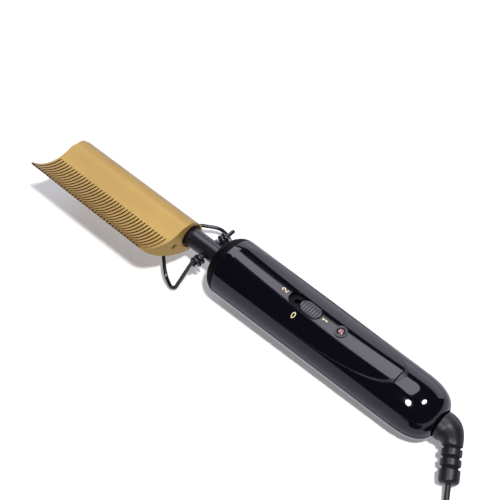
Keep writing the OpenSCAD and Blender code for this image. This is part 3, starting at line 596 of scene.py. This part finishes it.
def elbow_radius(distance):
    """A round foot that eases into the tube, then the ring grooves and the rounded end."""
    if distance < ease_from:
        inward = max(0, -distance - foot_flat) / foot_round_long
        return foot_r - foot_round_deep * (1 - math.sqrt(1 - inward**2))
    radius = foot_r + (elbow_r - foot_r) * eased(min(1, (distance - ease_from) / ease_long))
    down = distance - elbow_bend_r * elbow_bend
    for i in range(groove_count):
        if 0 <= down - groove_first - groove_pitch * i <= groove_wide:
            radius = elbow_r - groove_deep
    to_end = elbow_len - down
    if to_end < elbow_end_r:
        radius = elbow_r - elbow_end_r + math.sqrt(elbow_end_r**2 - (elbow_end_r - max(0, to_end)) ** 2)
    return radius


elbow_full = elbow_bend_r * elbow_bend + elbow_len
elbow_places = [(elbow_full + foot_in) * i / elbow_rings - foot_in for i in range(elbow_rings + 1)]

# The grooves are painted with shade: the rubber is painted darkest deep in them, found where it lies nearer
# the axis of the straight part
elbow_rubber, paint = new_material("elbow_rubber")
place = paint.add("TexCoord", out=3)
from_end = paint.add("VectorMath", {"operation": "SUBTRACT"}, {0: place, 1: cord_start})
back = paint.add("VectorMath", {"operation": "DOT_PRODUCT"}, {0: from_end, 1: -cord_heading}, out=1) / MM
off_axis = paint.add("VectorMath", {"operation": "CROSS_PRODUCT"}, {0: from_end, 1: cord_heading})
off_axis = paint.add("VectorMath", {"operation": "LENGTH"}, {0: off_axis}, out=1) / MM
groove_shade = ((elbow_r - 0.2 - off_axis) / 0.4).clear() * back.over(2.5) * (elbow_len - back).over(0.0)
fine = paint.add("TexNoise", sockets={"Vector": place, "Scale": 1400.0, "Detail": 3.0})
# The second stop is the painted shade deep in the grooves.
rubber_and_groove_shade_stops = [(0.0, rgb(0.0060, 0.0055, 0.0085)), (1.0, rgb(0.0010, 0.0010, 0.0014))]
rubber_and_groove_shade_tone = paint.add("ValToRGB", {"stops": rubber_and_groove_shade_stops}, {"Fac": groove_shade})
grit = paint.add("Bump", sockets={"Height": fine, "Strength": 1.0, "Distance": 0.02 * MM})
surface = paint.add("BsdfPrincipled", sockets={
    "Base Color": rubber_and_groove_shade_tone,
    "Roughness": (0.42 + (fine - 0.5) * 0.1 + groove_shade * 0.5).clear(),
    "Normal": grit,
})
paint.add("OutputMaterial", sockets={"Surface": surface})
elbow = tube("elbow", [placed(*elbow_point(d)) for d in elbow_places],
             [elbow_radius(d) * MM for d in elbow_places], 48, elbow_rubber)
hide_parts("cord_elbow")
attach(elbow, "swivel")

# ---- The numbers ----
# Hot-stamped gold figures beside the switch: 2 for high, 0 for off and 1 for low.
# They lie on the dished panel and follow its curve.


def on_panel(x, y, above):
    """A point on the dished panel, with the tool's own x and y in millimetres."""
    ridge = panel_low_z + panel_along_r - math.sqrt(panel_along_r**2 - (x - panel_low_x) ** 2)
    sag = panel_across_r - math.sqrt(panel_across_r**2 - y**2)
    return placed(x, y, ridge - sag + above)


half_stroke, ink_top, ink_under = 0.24, 0.06, -0.1
two = [(-0.55, 0.55), (-0.3, 0.9), (0.1, 1.0), (0.45, 0.75), (0.45, 0.35), (-0.55, -1.0), (0.6, -1.0)]
one = [(-0.45, 0.55), (0.0, 1.0), (0.0, -1.0)]
zero = [(0.55 * math.sin(a * math.pi / 10), math.cos(a * math.pi / 10)) for a in range(21)]
gold_ink = grainy("gold_stamp", (0.86, 0.72, 0.36), 0.35, metallic=0.25)


def figure(name, stroke, x, y, up_x, up_y, high):
    """A stamped figure at a place on the panel, drawn with one stroke of an even width."""
    run = [(x + high / 2 * (px * up_y + py * up_x), y + high / 2 * (py * up_y - px * up_x))
           for px, py in stroke]
    corners, faces = [], []
    for i, (px, py) in enumerate(run):
        ax, ay = run[max(i - 1, 0)]
        bx, by = run[min(i + 1, len(run) - 1)]
        length = math.hypot(bx - ax, by - ay)
        sx, sy = (ay - by) / length * half_stroke, (bx - ax) / length * half_stroke
        corners += [on_panel(px + s * sx, py + s * sy, above)
                    for above in (ink_top, ink_under) for s in (1, -1)]
    end = 4 * (len(run) - 1)
    for a in range(0, end, 4):
        faces += [(a, a + 1, a + 5, a + 4), (a + 3, a + 2, a + 6, a + 7),
                  (a + 1, a + 3, a + 7, a + 5), (a + 2, a, a + 4, a + 6)]
    faces += [(1, 0, 2, 3), (end, end + 1, end + 3, end + 2)]
    piece = solid(name, corners, faces, gold_ink)
    for face in piece.data.polygons:
        face.use_smooth = False
    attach(piece, "handle")


figure("number_two", two, 59.2, 0, -1, 0, 3.4)
figure("number_one", one, 88.6, 0, -1, 0, 3.4)
figure("number_zero", zero, 73, -8.6, 0, 1, 3.2)

# ---- The switch ----
# A ribbed slider moulded in satin black, which runs in a well in the panel between low, off and high.
# Its foot holds the lever of a metal slide switch on the board.

finish_node("switch_knob", grainy("knob_satin", (0.045, 0.043, 0.052), 0.30))
finish_node("switch_lever", grainy("lever_ivory", (0.75, 0.72, 0.62), 0.5))
finish_node("switch_body", grainy("switch_steel", (0.60, 0.60, 0.60), 0.35, metallic=1.0))

# ---- The lamp ----
# A pink tinted lens with the lamp behind it, in a gloss black ring pressed into the panel.
# The lens is clouded, and its tint is painted lighter in the middle as the lamp's glow and darker toward the
# ring.

lamp_x, lens_r = 100.0, 2.5
lens_pink, paint = new_material("lamp_lens")
place = paint.add("TexCoord", out=3)
ahead, side, _ = from_rod(place)
from_middle = length_of([ahead - lamp_x, side]) / lens_r
cloud = paint.add("TexNoise", sockets={"Vector": place, "Scale": 900.0, "Detail": 2.0})
# The lens is painted lighter in the middle as a glow, and darker toward the ring.
lens_glow_part = cloud - ((from_middle - 0.55) / 0.3).clear() * 0.9
lens_glow_stops = [(0.0, rgb(0.012, 0.008, 0.010)), (0.3, rgb(0.12, 0.055, 0.065)),
              (0.62, rgb(0.32, 0.155, 0.17))]
lens_glow_tint = paint.add("ValToRGB", {"stops": lens_glow_stops}, {"Fac": lens_glow_part.clear()})
surface = paint.add("BsdfPrincipled", sockets={"Base Color": lens_glow_tint, "Roughness": 0.18})
paint.add("OutputMaterial", sockets={"Surface": surface})
finish_node("lamp", lens_pink)
finish_node("lamp_bezel", grainy("bezel_gloss", (0.008, 0.007, 0.009), 0.12))

# ---- The neck ----
# A steel tube in satin black enamel, which holds the hot comb away from the handle.
# A pressed flange holds it in the two halves, and a gloss black collar closes the comb's hole round it.

finish_node("neck_tube", grainy("neck_enamel", (0.006, 0.005, 0.009), 0.30, scale=500))
finish_node("neck_collar", grainy("collar_gloss", (0.006, 0.006, 0.007), 0.1))
finish_node("neck_flange", grainy("flange_steel", (0.58, 0.58, 0.58), 0.35, metallic=1.0))

# ---- The stand ----
# One length of spring wire in black enamel, wound twice round each end of a cross rod through the neck.
# It stands on its two feet, and its arch rests under the comb.

enamel = grainy("wire_enamel", (0.008, 0.008, 0.010), 0.13, scale=700)
finish_node("pivot_rod", enamel)

wire_r, rod_r, neck_r, rest_gap = 1.15, 1.2, 6.1, 0.3
coil_turns, coil_rings = 2, 28
wire_coil_r = rod_r + wire_r + 0.2
wire_pitch = 2 * wire_r + 0.45
coil_in = neck_r + rest_gap + wire_r
coil_out = coil_in + coil_turns * wire_pitch
foot_out, foot_down, foot_ahead = 25.7, 22.4, 7.3
arch_ahead, comb_under = 28.0, 10.6
arch_down = comb_under + rest_gap + wire_r


def bend(a, b, c, radius, steps):
    """Points of a round bend at corner b between a and c."""
    a, b, c = Vector(a), Vector(b), Vector(c)
    u, v = (a - b).normalized(), (c - b).normalized()
    half = math.acos(max(-1, min(1, u.dot(v)))) / 2
    start = b + u * radius / math.tan(half)
    middle = b + (u + v).normalized() * radius / math.sin(half)
    sweep = math.pi - 2 * half
    return [
        middle + (start - middle) * math.cos(sweep * i / steps) - u * radius * math.sin(sweep * i / steps)
        for i in range(steps + 1)
    ]


coil_end = Vector((-wire_coil_r, coil_out, 0))
foot = (-foot_ahead, foot_out, -foot_down)
shin = (-foot_ahead - 0.32 * (arch_ahead - foot_ahead), foot_out - 0.8, -0.62 * foot_down)
knee = (-foot_ahead - 0.84 * (arch_ahead - foot_ahead), 0.62 * foot_out, -arch_down + 0.9)
crown = (-arch_ahead, 0.28 * foot_out, -arch_down)
crown_far = (-arch_ahead, -0.28 * foot_out, -arch_down)
half_wire = []
for i in range(coil_turns * coil_rings):
    angle = math.pi + 2 * math.pi * i / coil_rings
    half_wire.append(Vector((wire_coil_r * math.cos(angle), coil_in + wire_pitch * i / coil_rings,
                             wire_coil_r * math.sin(angle))))
half_wire += bend((-wire_coil_r, coil_out - 0.6, 3), coil_end + Vector((0, 0.2, -1.5)), foot, 3, 5)
half_wire += bend(coil_end, foot, shin, 2.2, 10)
half_wire += bend(foot, shin, knee, 12, 6)
half_wire += bend(shin, knee, crown, 7, 6)
half_wire += bend(knee, crown, crown_far, 5, 4)
wire = [Vector((p.x, -p.y, p.z)) for p in half_wire] + half_wire[::-1]
stand = tube("stand_wire", [placed(*p) for p in wire], wire_r * MM, 14, enamel, Vector((1, 0, 0)))
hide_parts("wire_stand")
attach(stand, "stand")

# ---- The comb ----
# An aluminium casting with a round hollow spine for the heater, cut into teeth.
# It has a fine matte gold coating, and a set screw holds it on the neck.

# Its outline across is made of rounds, each given by its middle and radius and touching the next
comb_tip, spine_end = -114.5, -16.0
comb_reach, root_reach, root_lean = 37.6, 17.2, math.radians(14)
tooth_count, tooth_gap, first_tooth, last_tooth = 39, 0.95, 1.7, 2.8
end_slant, corner_r = 1.6, 3.0
face_mid, face_arc_r, face_low = 16.0, 24.6, 10.3
spine_r, tip_r, crest_r, top_r, back_r = 9.7, 0.7, 3.0, 5.0, 62.0

face_middle = Vector((-face_mid, face_low + face_arc_r))
spine_middle = Vector((-0.7, -0.9))
top_middle = Vector((-0.3, face_low - 4.2))


def under_face(y, radius):
    """The middle of a round that touches the hollow face from below."""
    return Vector((y, face_middle.y - math.sqrt((face_arc_r + radius) ** 2 - (y - face_middle.x) ** 2)))


def angle_of(way):
    return math.atan2(way.y, way.x)


def over_both(first, first_r, second, second_r):
    """The direction in which a straight face leaves one round for the next."""
    way = first - second
    return angle_of(way) - math.acos((second_r - first_r) / way.length)


tip_middle = under_face(tip_r - comb_reach, tip_r)
crest_middle = under_face(-6.5, crest_r)
back_span = back_r - spine_r
tip_way = tip_middle - spine_middle
back_angle = angle_of(tip_way) - math.acos(
    (back_span**2 + tip_way.dot(tip_way) - (back_r - tip_r) ** 2) / (2 * back_span * tip_way.length)
)
back_middle = spine_middle + back_span * Vector((math.cos(back_angle), math.sin(back_angle)))
crest_to_top = over_both(crest_middle, crest_r, top_middle, top_r)
top_to_spine = over_both(top_middle, top_r, spine_middle, spine_r)


def round_part(middle, radius, start, end, steps, turn):
    """Points on a round from one direction to another, turning one way."""
    sweep = (end - start) * turn % (2 * math.pi) * turn
    return [
        (middle.x + radius * math.cos(start + sweep * i / steps),
         middle.y + radius * math.sin(start + sweep * i / steps))
        for i in range(steps + 1)
    ]


to_tip, to_crest = angle_of(tip_middle - face_middle), angle_of(crest_middle - face_middle)
section = (
    round_part(face_middle, face_arc_r, to_tip, to_crest, 30, 1)[1:-1]
    + round_part(crest_middle, crest_r, to_crest + math.pi, crest_to_top, 8, -1)
    + round_part(top_middle, top_r, crest_to_top, top_to_spine, 10, -1)
    + round_part(spine_middle, spine_r, top_to_spine, back_angle + math.pi, 40, -1)
    + round_part(back_middle, back_r, back_angle + math.pi, angle_of(tip_middle - back_middle), 24, -1)[1:-1]
    + round_part(tip_middle, tip_r, angle_of(tip_middle - back_middle), to_tip + math.pi, 8, -1)
)


def prism(outline, to_point, low, high):
    """A straight solid on an outline, as corners and faces. to_point puts an outline point at a height."""
    count = len(outline)
    corners = [to_point(a, b, h) for h in (low, high) for a, b in outline]
    faces = [tuple(range(count)), tuple(range(2 * count - 1, count - 1, -1))]
    faces += [(i, i + count, (i + 1) % count + count, (i + 1) % count) for i in range(count)]
    return corners, faces


def joined(prisms):
    corners, faces = [], []
    for more_corners, more_faces in prisms:
        faces += [tuple(i + len(corners) for i in face) for face in more_faces]
        corners += more_corners
    return corners, faces


def across_tool(a, b, h):
    return placed(h, a, b)


def over_tool(a, b, h):
    return placed(a, b, h)


def gap_outline(low, high):
    """A gap between teeth seen along the comb, from its sloping root out past the tips."""
    return [(-root_reach + (z - face_low) * math.tan(root_lean), z) for z in (high, low)] + [
        (-2 * comb_reach, low), (-2 * comb_reach, high)]


gap_pitch = (spine_end - comb_tip - first_tooth - last_tooth - tooth_gap) / (tooth_count - 2)
gap_starts = [comb_tip + first_tooth + gap_pitch * i for i in range(tooth_count - 1)]
corner_middle = Vector((spine_end - end_slant - corner_r, corner_r - comb_reach))
beyond = 5
past_end = [(spine_end, -spine_r)] + round_part(corner_middle, corner_r, 0, -math.pi / 2, 6, -1) + [
    (corner_middle.x, -comb_reach - beyond), (spine_end + beyond, -comb_reach - beyond),
    (spine_end + beyond, -spine_r)]

# Each bore has a middle, a radius and a depth: for the collar, neck and heater, and the screw's two
neck_axis, set_screw = Vector((0, 0)), Vector((-14, 1.8))
bores = [(neck_axis, 7.95, 9), (neck_axis, 6.25, 24), (neck_axis, 4.15, 77),
         (set_screw, 2.0, 2.6), (set_screw, 1.05, 11)]
bore_sides = 48
cut_low, cut_high = -20, 30
gap = gap_outline(cut_low, cut_high)
cutters = [
    joined([prism(gap, across_tool, start, start + tooth_gap) for start in gap_starts]),
    prism(past_end, over_tool, cut_low, cut_high),
]
for middle, radius, depth in bores:
    angles = [2 * math.pi * i / bore_sides for i in range(bore_sides)]
    bore = [(middle.x + radius * math.cos(a), middle.y + radius * math.sin(a)) for a in angles]
    cutters.append(prism(bore, across_tool, spine_end - depth, spine_end + beyond))


def outward(mesh):
    """Turns all faces of a closed mesh outward."""
    shape = bmesh.new()
    shape.from_mesh(mesh)
    bmesh.ops.recalc_face_normals(shape, faces=shape.faces)
    shape.to_mesh(mesh)
    shape.free()


gold, paint = new_material("comb_gold")
place = paint.add("TexCoord", out=3)
ahead, side, _ = from_rod(place)
reach = 0.0 - side
mesh_way = paint.add("NewGeometry", out=1)
facing_ahead, _, facing_up = along_tool(paint.add("NewGeometry", out=3))

# The cut sides of the teeth are painted darker than the rest, as the shade in the slots between them, and
# their tips a little
slots_from, slots_to = -113.0, -20.5
cut = abs(facing_ahead).over(0.6) * ahead.over(slots_from) * (slots_to - ahead).over(0.0)
cut = cut * reach.over(face_mid - 4)
toothed = ((reach - root_reach) / 12.0).clear()

# One smooth turn from the hollow face to the top
turn_from, turn_wide = -11.5, 9.5
turned_part = ((side - turn_from) / turn_wide).clear()
turned_part = turned_part * turned_part * (3.0 - turned_part * 2.0)
lean = (side + face_mid) / face_arc_r
lean = lean.least(0.0) + (lean.most(0.0) * 0.4).toward(0.0, turned_part)
level = (1.0 - lean * lean).most(0.0) ** 0.5
smooth_way = as_it_lies(0.0, 0.0 - lean, level)
on_top = facing_up.over(0.3) * (turn_from + turn_wide - side).over(0.0)
way = paint.add("Mix", {"data_type": "VECTOR"}, {0: on_top, 4: mesh_way, 5: smooth_way}, out=1)

blotch = paint.add("TexNoise", sockets={"Vector": place, "Scale": 35.0, "Detail": 2.0})
fine = paint.add("TexNoise", sockets={"Vector": place, "Scale": 2600.0, "Detail": 2.0})
# The first stop is the painted shade of the slots, the others the gold's own tone.
gold_and_slot_shade_stops = [(0.0, rgb(0.085, 0.036, 0.006)), (0.3, rgb(0.308, 0.190, 0.041)),
              (1.0, rgb(0.390, 0.252, 0.062))]
gold_and_slot_shade = (0.3 + blotch * 0.7) * (1.0 - cut) - toothed * 0.1
gold_and_slot_shade_tone = paint.add("ValToRGB", {"stops": gold_and_slot_shade_stops}, {"Fac": gold_and_slot_shade})
grit = paint.add("Bump", sockets={"Height": fine, "Strength": 1.0, "Distance": 0.01 * MM, "Normal": way})
surface = paint.add("BsdfPrincipled", sockets={
    "Base Color": gold_and_slot_shade_tone,
    "Metallic": 0.35,
    "Roughness": (0.42 + (fine - 0.5) * 0.1 + cut * 0.3).clear(),
    "Normal": grit,
})
paint.add("OutputMaterial", sockets={"Surface": surface})

comb = solid("comb", *prism(section, across_tool, comb_tip, spine_end), gold)
outward(comb.data)
for corners, faces in cutters:
    cutter = solid("comb_cutter", corners, faces, gold)
    outward(cutter.data)
    cut_away = comb.modifiers.new("cut", "BOOLEAN")
    cut_away.operation = "DIFFERENCE"
    cut_away.solver = "EXACT"
    cut_away.object = cutter
    bpy.context.view_layer.update()
    whole = comb.evaluated_get(bpy.context.evaluated_depsgraph_get())
    comb.data = bpy.data.meshes.new_from_object(whole)
    comb.modifiers.clear()
    bpy.data.objects.remove(cutter)
for face in comb.data.polygons:
    face.use_smooth = True
comb.data.set_sharp_from_angle(angle=math.radians(28))
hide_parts("comb_head")
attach(comb, "handle")
finish_node("comb_screw", grainy("screw_blued", (0.05, 0.045, 0.04), 0.4, metallic=0.8))

# ---- Inside the tool ----
# The heater, its fuse and leads run through the neck to a board, and brass contacts meet the swivel.
# Each is a bought or pressed part in its usual metal, ceramic or plastic, seated or screwed in the halves.

inside = {
    "heater_cartridge": ((0.62, 0.62, 0.60), 0.4, 1.0),
    "heater_bead": ((0.80, 0.76, 0.66), 0.7, 0.0),
    "thermal_fuse": ((0.66, 0.66, 0.66), 0.3, 1.0),
    "heater_leads": ((0.74, 0.72, 0.66), 0.8, 0.0),
    "control_board": ((0.02, 0.16, 0.05), 0.4, 0.0),
    "board_screws": ((0.60, 0.60, 0.60), 0.35, 1.0),
    "capacitor": ((0.62, 0.20, 0.03), 0.3, 0.0),
    "dropper_resistor": ((0.55, 0.45, 0.30), 0.6, 0.0),
    "triac": ((0.03, 0.03, 0.03), 0.5, 0.0),
    "diodes": ((0.03, 0.03, 0.03), 0.4, 0.0),
    "mains_leads": ((0.20, 0.09, 0.04), 0.5, 0.0),
    "swivel_socket": ((0.04, 0.04, 0.045), 0.5, 0.0),
    "contact_springs": ((0.74, 0.55, 0.24), 0.3, 1.0),
    "swivel_pin": ((0.74, 0.55, 0.24), 0.3, 1.0),
}
for node, (colour, roughness, metallic) in inside.items():
    finish_node(node, grainy(node + "_finish", colour, roughness, metallic))
